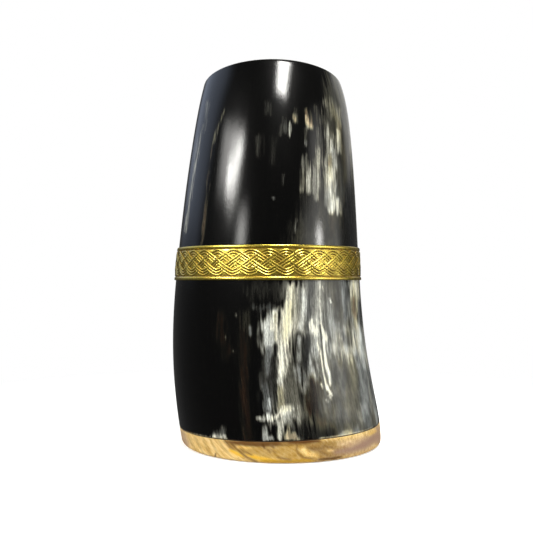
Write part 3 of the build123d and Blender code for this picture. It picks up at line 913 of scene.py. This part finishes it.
def brush(column, row, path, softness, grain):
    """How strongly a brush stroke over the photograph covers each point, from 0 to 1.
    Its tips are drawn out along it, and its edge is broken up by the grain."""
    gap = np.full(column.shape, np.inf)
    steps = [(x1 - x0, y1 - y0) for (x0, y0, _), (x1, y1, _) in zip(path[:-1], path[1:])]
    thickness = softness + max(width for _, _, width in path)
    stretch = 1 + min(TIP_LIMIT, TIP_SHARE * sum(math.hypot(*step) for step in steps) / thickness)
    for number, (dx, dy) in enumerate(steps):
        x, y, width = path[number]
        length = math.hypot(dx, dy)
        along = ((column - x) * dx + (row - y) * dy) / length ** 2
        beyond = np.maximum(-along, along - 1) * length
        drawn_out = (along < 0) & (number == 0) | (along > 1) & (number == len(steps) - 1)
        ahead = np.maximum(beyond, 0.0) / np.where(drawn_out, stretch, 1.0)
        aside = ((column - x) * dy - (row - y) * dx) / length
        half = width + np.clip(along, 0.0, 1.0) * (path[number + 1][2] - width)
        gap = np.minimum(gap, np.hypot(ahead, aside) - half)
    density = np.clip(0.5 - gap / (2 * EDGE_SPREAD * softness), 0.0, 1.0)
    ragged = GRAIN_SHARE * (0.5 - grain) * 4.0 * density * (1.0 - density)
    return smooth_step(density + ragged)


def paint_front(points, angle, marks, values, grain):
    """Lays marks, in order, over values at points of the front, fading out where the surface turns away."""
    depth = points[..., 1] - EYE_PLACE[1]
    column = EYE_COLUMN + FOCAL_PIXELS * (points[..., 0] - EYE_PLACE[0]) / depth
    row = EYE_ROW - FOCAL_PIXELS * (points[..., 2] - EYE_PLACE[2]) / depth
    turned = np.abs((np.degrees(angle) + 180.0) % 360.0 - 180.0)
    facing = smooth_step((PAINT_LIMIT - turned) / PAINT_FADE)
    for *target, softness, path in marks.values():
        cover = (facing * brush(column, row, path, softness, grain))[..., None]
        values = values + (np.array(target) - values) * cover
    return values


def paint_back(angle, height):
    """Paleness and warmth of the sides and back: soft fields, with streaks scattered in them."""
    random = np.random.default_rng(SEED)
    turned = np.degrees(angle) % 360.0
    values = np.broadcast_to(np.array(DARK_HORN), (*turned.shape, 2))
    for middle, level, spread, tall, paleness, warmth in BACK_FIELDS.values():
        off = ((turned - middle) / spread) ** 2 + ((height - level) / tall) ** 2
        values = values + (np.array((paleness, warmth)) - values) * np.exp(-off)[..., None]
        for _ in range(STREAKS_IN_FIELD):
            streak_middle = random.normal(middle, STREAK_SCATTER * spread)
            streak_level = random.normal(level, STREAK_SCATTER * tall)
            half_width = random.uniform(*STREAK_HALF_WIDTHS)
            half_length = random.uniform(*STREAK_HALF_LENGTHS)
            target = np.array((random.uniform(*STREAK_PALENESS), random.uniform(*STREAK_WARMTH)))
            across = np.radians(turned - streak_middle) * MEAN_RADIUS / half_width
            along = (height - streak_level) / half_length
            cover = np.exp(-across ** 2 - along ** 4)[..., None]
            values = values + (target - values) * cover
    return values


def horn_angles():
    """Angles of the horn's columns in radians: close together at the front, wider apart at the back."""
    front = np.arange(-FRONT_END, FRONT_END, FRONT_STEP)
    right = np.arange(FRONT_END, SIDE_END, SIDE_STEP)
    back = np.arange(SIDE_END, 360.0 - SIDE_END, BACK_STEP)
    left = np.arange(360.0 - SIDE_END, 360.0 - FRONT_END, SIDE_STEP)
    return np.radians(np.concatenate((front, right, back, left)))


def stack_rows(rows, angle):
    """Rows of (heights, inset) at the same angles, as arrays of height, inset and angle."""
    height = np.array([row[0] for row in rows])
    inset = np.array([np.full(len(angle), row[1]) for row in rows])
    return height, inset, np.broadcast_to(angle, height.shape)


def lip_row(angle, turn, inset):
    """A row of the horn's lip, turn degrees up its rounded edge."""
    rim = outline.edge_height(rim_plane, angle, RIM_NEAR, inset)
    return rim - LIP_ROUND * (1 - math.sin(math.radians(turn))), inset


def horn_piece():
    """The hollow horn: outer wall, rounded lip and inner wall, closed at the foot."""
    angle = horn_angles()
    foot = outline.edge_height(foot_plane, angle, FOOT_NEAR)
    rows = []
    outer_rim = outline.edge_height(rim_plane, angle, RIM_NEAR)
    for share in np.linspace(0.0, 1.0, OUTER_ROWS):
        rows.append((foot + share * (outer_rim - LIP_ROUND - foot), 0.0))
    for turn in np.linspace(0.0, 90.0, ROUND_ROWS + 1)[1:]:
        rows.append(lip_row(angle, turn, LIP_ROUND * (1 - math.cos(math.radians(turn)))))
    for turn in np.linspace(90.0, 0.0, ROUND_ROWS + 1):
        rows.append(lip_row(angle, turn, HORN_WALL - LIP_ROUND * (1 - math.cos(math.radians(turn)))))
    inner_rim = outline.edge_height(rim_plane, angle, RIM_NEAR, HORN_WALL)
    for share in np.linspace(1.0, 0.0, INNER_ROWS)[1:]:
        rows.append((foot + share * (inner_rim - LIP_ROUND - foot), HORN_WALL))
    height, inset, turned = stack_rows(rows, angle)
    sway = np.sin(3 * turned + height / 21.0) * np.sin(height / 13.0 + turned)
    inset = inset + SURFACE_SWAY * (0.5 + 0.5 * sway) * (inset < 0.01)
    points = outline.place(turned, height, inset)
    mesh = ring_mesh("horn_body_dressed", points)
    back = paint_back(turned, height)
    painted = paint_front(points, turned, HORN_MARKS, back, fibre_grain(turned, height))
    calm = paint_front(points, turned, CALM_MARKS, np.zeros((*height.shape, 1)), EVEN_GRAIN)
    straight = np.stack((MEAN_RADIUS * np.sin(turned), -MEAN_RADIUS * np.cos(turned), height), axis=-1)
    # paleness also holds the painted shade, highlights and reflections among the marks
    add_number(mesh, "paleness", painted[..., 0])
    add_number(mesh, "warmth", painted[..., 1])
    add_number(mesh, "calm", calm)
    add_number(mesh, "inside", (inset > HORN_WALL * INNER_SHARE).astype(float))
    add_vector(mesh, "straight_place", straight)
    return new_object("horn_body_dressed", mesh, horn_material())


def wood_piece():
    """The wooden base: a flush foot with a rounded lower edge, and the spigot that plugs the horn."""
    angle = np.radians(np.arange(0.0, 360.0, WOOD_STEP))
    shoulder = outline.edge_height(shoulder_plane, angle, FOOT_NEAR)
    level = 0.0 * angle
    spigot_gap = HORN_WALL + SEAL_THICKNESS + SPIGOT_PLAY
    rows = []
    for share in UNDERSIDE_SHARES:
        rows.append((level, BASE_ROUND + (1 - share) * UNDERSIDE_REACH))
    for turn in np.linspace(0.0, 90.0, BASE_ROUND_ROWS):
        lean = math.radians(turn)
        rows.append((level + BASE_ROUND * (1 - math.cos(lean)), BASE_ROUND * (1 - math.sin(lean))))
    for share in np.linspace(0.0, 1.0, BASE_ROWS)[1:]:
        rows.append((BASE_ROUND + share * (shoulder - EDGE_ROUND - BASE_ROUND), 0.0))
    rows.append((shoulder, EDGE_ROUND))
    rows.append((shoulder, spigot_gap))
    rows.append((level + FLOOR_HEIGHT - EDGE_ROUND, spigot_gap))
    rows.append((level + FLOOR_HEIGHT, spigot_gap + EDGE_ROUND))
    for share in SPIGOT_SHARES:
        rows.append((level + FLOOR_HEIGHT, spigot_gap + (1 - share) * SPIGOT_REACH))
    height, inset, turned = stack_rows(rows, angle)
    points = outline.place(turned, height, inset)
    mesh = ring_mesh("wood_base_dressed", points, closed_loop=False, caps=(True, True))
    plain = np.broadcast_to(np.array(PLAIN_WOOD), (*height.shape, 3))
    painted = paint_front(points, turned, WOOD_MARKS, plain, EVEN_GRAIN).reshape(-1, 3)
    painted = np.concatenate((painted, plain[0, :2]))
    # The stain and rosy channels carry painted shade as well as the wood's own marks
    for channel, name in enumerate(("stain", "honey", "rose_and_shade")):
        add_number(mesh, name, painted[:, channel])
    return new_object("wood_base_dressed", mesh, wood_material())


def seal_piece():
    """The glue: a thin flange under the horn, a sleeve round the spigot and a bead at the floor."""
    angle = np.radians(np.arange(0.0, 360.0, SEAL_STEP))
    shoulder = outline.edge_height(shoulder_plane, angle, FOOT_NEAR)
    foot = outline.edge_height(foot_plane, angle, FOOT_NEAR)
    floor = FLOOR_HEIGHT + 0.0 * angle
    rows = [
        (shoulder + SEAL_PLAY, HORN_WALL + SLEEVE_INNER),
        (shoulder + SEAL_PLAY, SEAL_SETBACK),
        (foot - SEAL_PLAY, SEAL_SETBACK),
        (foot - SEAL_PLAY, HORN_WALL + SLEEVE_OUTER),
    ]
    for share, inward in BEAD_PROFILE:
        rows.append((floor + BEAD_SIZE * share, HORN_WALL + inward))
    rows.append((floor + BEAD_PLAY, HORN_WALL + BEAD_REACH))
    rows.append((floor + BEAD_PLAY, HORN_WALL + SLEEVE_INNER))
    height, inset, turned = stack_rows(rows, angle)
    mesh = ring_mesh("base_seal_dressed", outline.place(turned, height, inset))
    return new_object("base_seal_dressed", mesh, seal_material())


def lap_lift(angle):
    """How far the strip stands off where it laps over its own start, at angles in degrees."""
    return LAP_RISE * smooth_step((angle - JOGGLE_START) / (JOGGLE_END - JOGGLE_START))


def strip_profile(width):
    """The sheet's outer side across the strip, as (place, offset): a raised border along both edges."""
    rise = STRIP_TOP - SHEET_GROUND
    profile = [(0.0, SHEET_FIT), (0.0, SHEET_FIT + BORDER_EDGE)]
    for turn in np.linspace(15.0, 165.0, 9):
        lean = math.radians(turn)
        place = BORDER_WIDTH * (0.5 - 0.5 * math.cos(lean))
        profile.append((place, SHEET_GROUND + rise * math.sin(lean) ** BORDER_FULLNESS))
    for place, depth in BORDER_GROOVE:
        profile.append((BORDER_WIDTH + place, SHEET_GROUND - depth))
    for share in np.linspace(0.2, 0.5, 4):
        profile.append((width * share, SHEET_GROUND))
    mirrored = [(width - place, offset) for place, offset in reversed(profile[:-1])]
    return np.array(profile + mirrored)


def strip_sheet():
    """The brass sheet with its two raised borders, as one closed ribbon lapped at the back."""
    angle = np.arange(-STRIP_END, STRIP_END + 0.01, STRIP_STEP)
    width = BAND_TOP - BAND_BOTTOM
    profile = strip_profile(width)
    turned, place = np.meshgrid(angle, profile[:, 0])
    offset = np.repeat(profile[:, 1:], len(angle), axis=1) + lap_lift(turned)
    points = outline.place(np.radians(turned), BAND_BOTTOM + place, -offset)
    rings = np.swapaxes(points[:, ::-1], 0, 1)
    mesh = ring_mesh("strip_sheet", rings, closed_loop=False, caps=(True, True))
    groove = smooth_step((SHEET_GROUND - GROOVE_START - profile[:, 1]) / GROOVE_RANGE)
    groove = groove * (profile[:, 0] > BORDER_WIDTH) * (profile[:, 0] < width - BORDER_WIDTH)
    crevice = np.tile(groove, len(angle))
    add_number(mesh, "crevice", np.concatenate((crevice, (0.0, 0.0))))
    return mesh


def unit_line(tree, count):
    """A line of length 1 along x with a number of points, and each point's x."""
    line = add_node(tree, "GeometryNodeCurvePrimitiveLine", {"Start": (0, 0, 0), "End": (1, 0, 0)})
    line = add_node(tree, "GeometryNodeResampleCurve", {"Curve": line, "Count": count})
    return line, add_node(tree, "ShaderNodeSeparateXYZ", {0: add_node(tree, "GeometryNodeInputPosition")})


def strand_paths(tree, given):
    """The strands' middle lines: rounded zigzags along the strip that lie over and under one another."""
    line, share = unit_line(tree, given["Points"])
    copied = {"Geometry": line, "Amount": given["Strands"]}
    copies = add_node(tree, "GeometryNodeDuplicateElements", copied, domain="SPLINE").node.outputs
    span = calculate(tree, "SUBTRACT", given["End Angle"], given["Start Angle"])
    angle = calculate(tree, "MULTIPLY_ADD", share, span, given["Start Angle"])
    step = calculate(tree, "DIVIDE", math.tau, given["Strands"])
    offset = calculate(tree, "MULTIPLY", copies["Duplicate Index"], step)
    phase = calculate(tree, "MULTIPLY_ADD", angle, given["Cycles"], offset)
    bent = calculate(tree, "MULTIPLY", calculate(tree, "SINE", phase), ZIGZAG_BEND)
    zigzag = calculate(tree, "DIVIDE", calculate(tree, "ARCSINE", bent), math.asin(ZIGZAG_BEND))
    rise = calculate(tree, "MULTIPLY", zigzag, given["Half Height"])
    crossings = calculate(tree, "MULTIPLY", phase, STRANDS - 1.0)
    over = calculate(tree, "MULTIPLY_ADD", calculate(tree, "COSINE", crossings), 0.5, 0.5)
    outset = calculate(tree, "MULTIPLY_ADD", over, given["Lift"], given["Ground"])
    lap = between(tree, angle, given["Joggle Start"], given["Joggle End"], 0.0, given["Lap Rise"])
    outset = calculate(tree, "ADD", outset, lap)

    rise_vector = combine(tree, rise, rise, rise)
    centre = vector_calculate(tree, "MULTIPLY", given["Centre Lean"], rise_vector)
    centre = vector_calculate(tree, "ADD", given["Centre"], centre)
    half = vector_calculate(tree, "MULTIPLY", given["Half Size Taper"], rise_vector)
    half = vector_calculate(tree, "ADD", given["Half Size"], half)
    half = vector_calculate(tree, "ADD", half, combine(tree, outset, outset))
    backwards = calculate(tree, "MULTIPLY", calculate(tree, "COSINE", angle), -1.0)
    direction = combine(tree, calculate(tree, "SINE", angle), backwards)
    place = vector_calculate(tree, "ADD", centre, vector_calculate(tree, "MULTIPLY", half, direction))
    height = calculate(tree, "ADD", given["Middle Height"], rise)
    place = vector_calculate(tree, "ADD", place, combine(tree, z=height))
    moved = {"Geometry": copies["Geometry"], "Position": place}
    strands = add_node(tree, "GeometryNodeSetPosition", moved)
    return add_node(tree, "GeometryNodeSetCurveNormal", {"Curve": strands}, mode="Z_UP")


def strand_section(tree, given):
    """A strand's section: three ribs with two grooves between them, its low parts marked as crevices."""
    section, across = unit_line(tree, SECTION_POINTS)
    ribs = add_node(tree, "ShaderNodeFloatCurve", {"Value": across})
    curve = ribs.node.mapping.curves[0]
    curve.points[0].location = (0.0, 0.0)
    curve.points[1].location = (1.0, 0.0)
    for where, level in STRAND_RIBS:
        curve.points.new(where, level)
        if where < 0.5:
            curve.points.new(1.0 - where, level)
    ribs.node.mapping.update()
    section = add_node(tree, "GeometryNodeStoreNamedAttribute", {
        "Geometry": section, "Name": "crevice", "Value": between(tree, ribs, 0.35, 0.8, 0.9, 0.0),
    }, data_type="FLOAT", domain="POINT")
    skirt = calculate(tree, "ADD", given["Strand Relief"], given["Lift"])
    level = calculate(tree, "SUBTRACT", calculate(tree, "MULTIPLY", ribs, skirt), given["Lift"])
    middle = calculate(tree, "SUBTRACT", across, 0.5)
    sideways = calculate(tree, "MULTIPLY", middle, given["Strand Width"])
    moved = {"Geometry": section, "Position": combine(tree, level, sideways)}
    section = add_node(tree, "GeometryNodeSetPosition", moved)
    return add_node(tree, "GeometryNodeSetSplineCyclic", {"Geometry": section, "Cyclic": True})


def plait_tree(material):
    """Geometry Nodes for the strip's plait: grooved strands that weave over and under one another.
    Lengths are in metres and angles in radians."""
    tree = bpy.data.node_groups.new("strip_plait", "GeometryNodeTree")
    tree.interface.new_socket("Plait", in_out="OUTPUT", socket_type="NodeSocketGeometry")
    sockets = {
        "NodeSocketInt": ("Strands", "Points"),
        "NodeSocketFloat": (
            "Cycles", "Start Angle", "End Angle", "Middle Height", "Half Height", "Ground", "Lift",
            "Strand Width", "Strand Relief", "Lap Rise", "Joggle Start", "Joggle End",
        ),
        "NodeSocketVector": ("Centre", "Centre Lean", "Half Size", "Half Size Taper"),
    }
    for kind, names in sockets.items():
        for name in names:
            tree.interface.new_socket(name, in_out="INPUT", socket_type=kind)
    given = tree.nodes.new("NodeGroupInput").outputs
    strands = strand_paths(tree, given)
    section = strand_section(tree, given)
    swept = {"Curve": strands, "Profile Curve": section, "Fill Caps": True}
    plait = add_node(tree, "GeometryNodeCurveToMesh", swept)
    plait = add_node(tree, "GeometryNodeRealizeInstances", {"Geometry": plait})
    plait = add_node(tree, "GeometryNodeSetMaterial", {"Geometry": plait, "Material": material})
    set_inputs(tree.nodes.new("NodeGroupOutput"), {"Plait": plait})
    return tree


def made_by_nodes(name, tree, values):
    """The plain mesh that a Geometry Nodes tree gives for named input values."""
    carrier = bpy.data.objects.new(name, bpy.data.meshes.new(name))
    bpy.context.scene.collection.objects.link(carrier)
    modifier = carrier.modifiers.new(name, "NODES")
    modifier.node_group = tree
    for item in tree.interface.items_tree:
        if item.in_out == "INPUT":
            modifier[item.identifier] = values[item.name]
    evaluated = carrier.evaluated_get(bpy.context.evaluated_depsgraph_get())
    mesh = bpy.data.meshes.new_from_object(evaluated)
    carrier.modifiers.remove(modifier)
    bpy.data.objects.remove(carrier)
    return mesh


def plait_mesh(material):
    """The plait's mesh, fitted to the cup's outline at the strip."""
    middle = (BAND_BOTTOM + BAND_TOP) / 2
    low = np.array(outline.oval(middle - SLOPE_REACH))
    high = np.array(outline.oval(middle + SLOPE_REACH))
    here = np.array(outline.oval(middle))
    slope = (high - low) / (2 * SLOPE_REACH)
    field = BAND_TOP - BAND_BOTTOM - 2 * BORDER_WIDTH
    reach_up = (field - STRAND_WIDTH) / 2 - PLAIT_EDGE_GAP
    values = {
        "Strands": STRANDS,
        "Points": STRAND_POINTS,
        "Cycles": PATTERN_REPEATS / STRANDS,
        "Start Angle": math.radians(PLAIT_END_GAP - STRIP_END),
        "End Angle": math.radians(STRIP_END - PLAIT_END_GAP),
        "Middle Height": middle * MM,
        "Half Height": reach_up * MM,
        "Ground": SHEET_GROUND * MM,
        "Lift": STRAND_LIFT * MM,
        "Strand Width": STRAND_WIDTH * MM,
        "Strand Relief": STRAND_RELIEF * MM,
        "Lap Rise": LAP_RISE * MM,
        "Joggle Start": math.radians(JOGGLE_START),
        "Joggle End": math.radians(JOGGLE_END),
        "Centre": (here[0] * MM, here[1] * MM, 0.0),
        "Centre Lean": (slope[0], slope[1], 0.0),
        "Half Size": (here[2] * MM, here[3] * MM, 0.0),
        "Half Size Taper": (slope[2], slope[3], 0.0),
    }
    return made_by_nodes("strip_plait", plait_tree(material), values)


def band_pieces():
    """The strip's sheet and the plait on it."""
    brass = brass_material("polished_brass", STRIP_BRASS, STRIP_TARNISH, roughness=0.29, tarnish=0.4)
    sheet = strip_sheet()
    plait = plait_mesh(brass)
    return new_object("strip_sheet", sheet, brass), new_object("strip_plait", plait, brass)


def dress_cup():
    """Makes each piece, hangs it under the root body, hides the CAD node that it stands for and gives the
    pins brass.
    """
    horn = horn_piece()
    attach(horn, "root")
    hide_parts("horn_body")
    wood = wood_piece()
    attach(wood, "root")
    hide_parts("wood_base")
    seal = seal_piece()
    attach(seal, "root")
    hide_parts("base_seal")
    for piece in band_pieces():
        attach(piece, "root")
        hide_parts("embossed_band")
    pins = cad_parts["band_pins"]
    pins.data.materials.clear()
    brass = brass_material("brass_pin", PIN_BRASS, PIN_TARNISH, roughness=0.28, tarnish=0.5)
    pins.data.materials.append(brass)


def ray_kinds(tree):
    """Whether a ray comes straight from the camera, and whether a glossy or clear surface sent it on."""
    rays = add_node(tree, "ShaderNodeLightPath").node.outputs
    bounced = calculate(tree, "MAXIMUM", rays["Is Glossy Ray"], rays["Is Transmission Ray"])
    return rays["Is Camera Ray"], bounced


def white_share(tree):
    """The white surround's strength: full for the camera, less in reflections, and plain as a light."""
    direct, bounced = ray_kinds(tree)
    strength = between(tree, bounced, 0.0, 1.0, SURROUND_LIGHT, SURROUND_MIRRORED, smooth=False)
    return between(tree, direct, 0.0, 1.0, strength, 1.0, smooth=False)


def surround():
    """The white world round the cup."""
    scene = bpy.context.scene
    scene.view_settings.view_transform = "Standard"
    world = bpy.data.worlds.new("white_surround")
    scene.world = world
    world.use_nodes = True
    tree = world.node_tree
    white = {"Color": opaque((1.0, 1.0, 1.0)), "Strength": white_share(tree)}
    set_inputs(tree.nodes["Background"], white)


def floor_material():
    """A pale floor that keeps the cup's shadow and runs out into the white surround."""
    material, tree, shader = new_material("pale_floor")
    place = object_place(tree)
    distance = vector_calculate(tree, "LENGTH", place).node.outputs["Value"]
    far = between(tree, distance, *FLOOR_RUNOUT)
    speckle = noise(tree, place, scale=0.8, detail=2.0)
    set_inputs(shader, {
        "Base Color": blend_colour(tree, speckle, FLOOR_DARK, FLOOR_PALE),
        "Roughness": 0.8,
        "Specular IOR Level": 0.1,
    })
    direct, bounced = ray_kinds(tree)
    lift = calculate(tree, "MULTIPLY", direct, FLOOR_LIFT)
    near_glow = add_node(tree, "ShaderNodeEmission", {"Strength": lift})
    near = add_node(tree, "ShaderNodeAddShader", {0: shader.outputs[0], 1: near_glow})
    white = add_node(tree, "ShaderNodeEmission", {"Strength": white_share(tree)})
    seen = add_node(tree, "ShaderNodeMixShader", {0: far, 1: near, 2: white})
    mirrored = add_node(tree, "ShaderNodeMixShader", {0: bounced, 1: seen, 2: white})
    set_inputs(tree.nodes["Material Output"], {"Surface": mirrored})
    return material


def pale_floor():
    """A round floor under the cup."""
    angle = np.radians(np.arange(0.0, 360.0, FLOOR_STEP))
    level = np.full(len(angle), -FLOOR_DROP)
    rings = []
    for radius in FLOOR_RADII:
        rings.append(np.column_stack((radius * np.sin(angle), -radius * np.cos(angle), level)))
    mesh = ring_mesh("pale_floor", np.array(rings), closed_loop=False, caps=(False, True))
    new_object("pale_floor", mesh, floor_material())


def lamp(name, azimuth, elevation, width, height, brightness, tilt, edge, colour=LAMP_COLOUR):
    """A rectangular lamp aimed at the cup, with values as in LAMPS."""
    light = bpy.data.lights.new(name, "AREA")
    light.shape = "RECTANGLE"
    light.size = width * MM
    light.size_y = height * MM
    light.energy = brightness * math.pi * light.size * light.size_y
    light.color = colour
    light.use_nodes = True
    tree = light.node_tree
    across = add_node(tree, "ShaderNodeNewGeometry").node.outputs["Parametric"]
    off_middle = vector_calculate(tree, "SUBTRACT", across, (0.5, 0.5, 0.0))
    off_middle = vector_calculate(tree, "ABSOLUTE", off_middle)
    off = add_node(tree, "ShaderNodeSeparateXYZ", {0: off_middle}).node.outputs
    sideways = between(tree, off["X"], 0.5 * (1 - edge), 0.5, 1.0, 0.0)
    upright = between(tree, off["Y"], 0.5 * (1 - edge), 0.5, 1.0, 0.0)
    share = calculate(tree, "MULTIPLY", sideways, upright)
    set_inputs(tree.nodes["Emission"], {"Strength": share})
    made = bpy.data.objects.new(name, light)
    turn, lift = math.radians(azimuth), math.radians(elevation)
    away = Vector((math.sin(turn) * math.cos(lift), -math.cos(turn) * math.cos(lift), math.sin(lift)))
    made.location = (Vector(LAMP_AIM) + away * LAMP_DISTANCE) * MM
    facing = away.to_track_quat("Z", "Y").to_matrix()
    made.rotation_euler = (facing @ Matrix.Rotation(math.radians(tilt), 3, "Z")).to_euler()
    bpy.context.scene.collection.objects.link(made)


def lamps():
    """The lamps whose reflections lie on the polished horn."""
    for name, values in LAMPS.items():
        lamp(name, *values)


def camera():
    """The photograph's camera, level and looking at the cup's front."""
    lens = bpy.data.cameras.new("camera")
    lens.sensor_width = SENSOR_WIDTH
    lens.lens = SENSOR_WIDTH * FOCAL_PIXELS / PHOTO_SIZE
    lens.shift_y = (EYE_ROW - PHOTO_SIZE / 2) / PHOTO_SIZE
    lens.clip_start = CLIP_START * MM
    made = bpy.data.objects.new("camera", lens)
    made.location = Vector(EYE_PLACE) * MM
    made.rotation_euler = (math.radians(90.0), 0.0, 0.0)
    bpy.context.scene.collection.objects.link(made)
    bpy.context.scene.camera = made


dress_cup()
surround()
pale_floor()
lamps()
camera()
